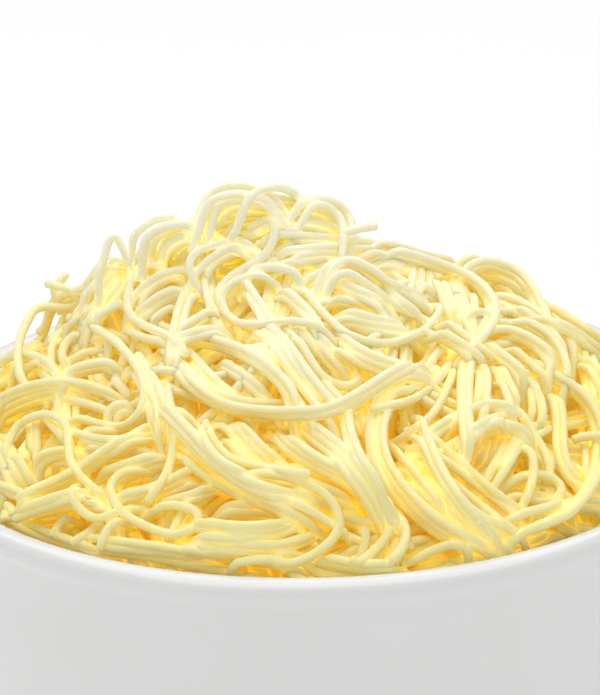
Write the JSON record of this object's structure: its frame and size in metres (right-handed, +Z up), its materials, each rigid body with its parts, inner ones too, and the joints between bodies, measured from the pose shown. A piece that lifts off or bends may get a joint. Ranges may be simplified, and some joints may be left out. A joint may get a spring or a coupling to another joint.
{
  "type": "bowl of cooked capellini",
  "caption": "Round white bowl with a beaded lip and a foot ring, heaped high with cooked capellini in loose locks, loops and arches.",
  "frame": {"origin": "middle of the underside of the foot ring, on the surface the bowl stands on", "axes": "+Z up along the bowl's axis, the diner and the picture's camera on the -Y side, +X to their right"},
  "size_m": [0.1286, 0.1286, 0.0984],
  "materials": {
    "glaze": "smooth, glossy white glaze",
    "capellini": "moist, slightly translucent pale yellow cooked pasta"
  },
  "bodies": {
    "root": {"bowl": "glaze", "capellini_heap": "capellini"}
  },
  "joints": []
}
